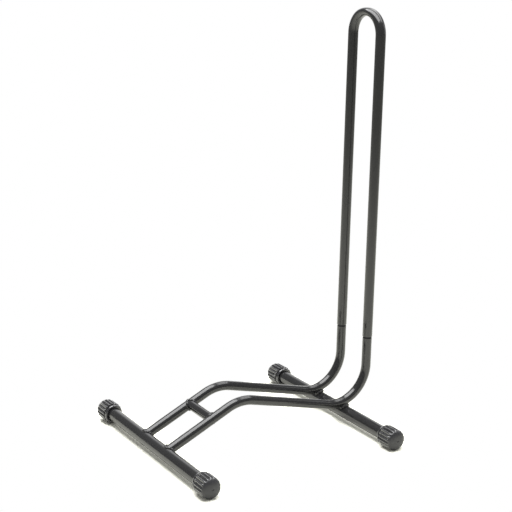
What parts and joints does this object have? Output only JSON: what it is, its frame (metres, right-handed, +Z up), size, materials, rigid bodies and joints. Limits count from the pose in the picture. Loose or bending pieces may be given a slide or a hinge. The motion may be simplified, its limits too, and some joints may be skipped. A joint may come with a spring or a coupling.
{
  "type": "bike wheel stand",
  "caption": "Floor stand that holds a bicycle by one wheel: bars with ribbed feet, bent tube rails with a brace, and a tall hoop that lifts off.",
  "frame": {"origin": "on the floor, below the middle of the stand's box", "axes": "+X along the floor bars to the right, +Y from the front bar to the rear bar, +Z up"},
  "size_m": [0.43, 0.4854, 0.7868],
  "materials": {
    "frame_paint": "satin black powder coat on steel tube",
    "hoop_paint": "satin black powder coat on steel tube",
    "weld_paint": "satin black powder coat over a weld bead",
    "cap_plastic": "satin black moulded plastic"
  },
  "bodies": {
    "base": {"front_crossbar": "frame_paint", "rear_crossbar": "frame_paint", "front_left_cap": "cap_plastic", "front_right_cap": "cap_plastic", "rear_left_cap": "cap_plastic", "rear_right_cap": "cap_plastic", "left_rail": "frame_paint", "right_rail": "frame_paint", "cross_brace": "frame_paint", "front_weld_left": "weld_paint", "front_weld_right": "weld_paint", "brace_weld_left": "weld_paint", "brace_weld_right": "weld_paint", "rear_weld_left_inner": "weld_paint", "rear_weld_left_outer": "weld_paint", "rear_weld_right_inner": "weld_paint", "rear_weld_right_outer": "weld_paint"},
    "hoop": {"wheel_hoop": "hoop_paint"}
  },
  "joints": [
    {"name": "hoop_lift", "type": "slide", "parent": "base", "child": "hoop", "axis": [0, 0.0244, 0.9997], "range_m": [0, 0.05]}
  ]
}
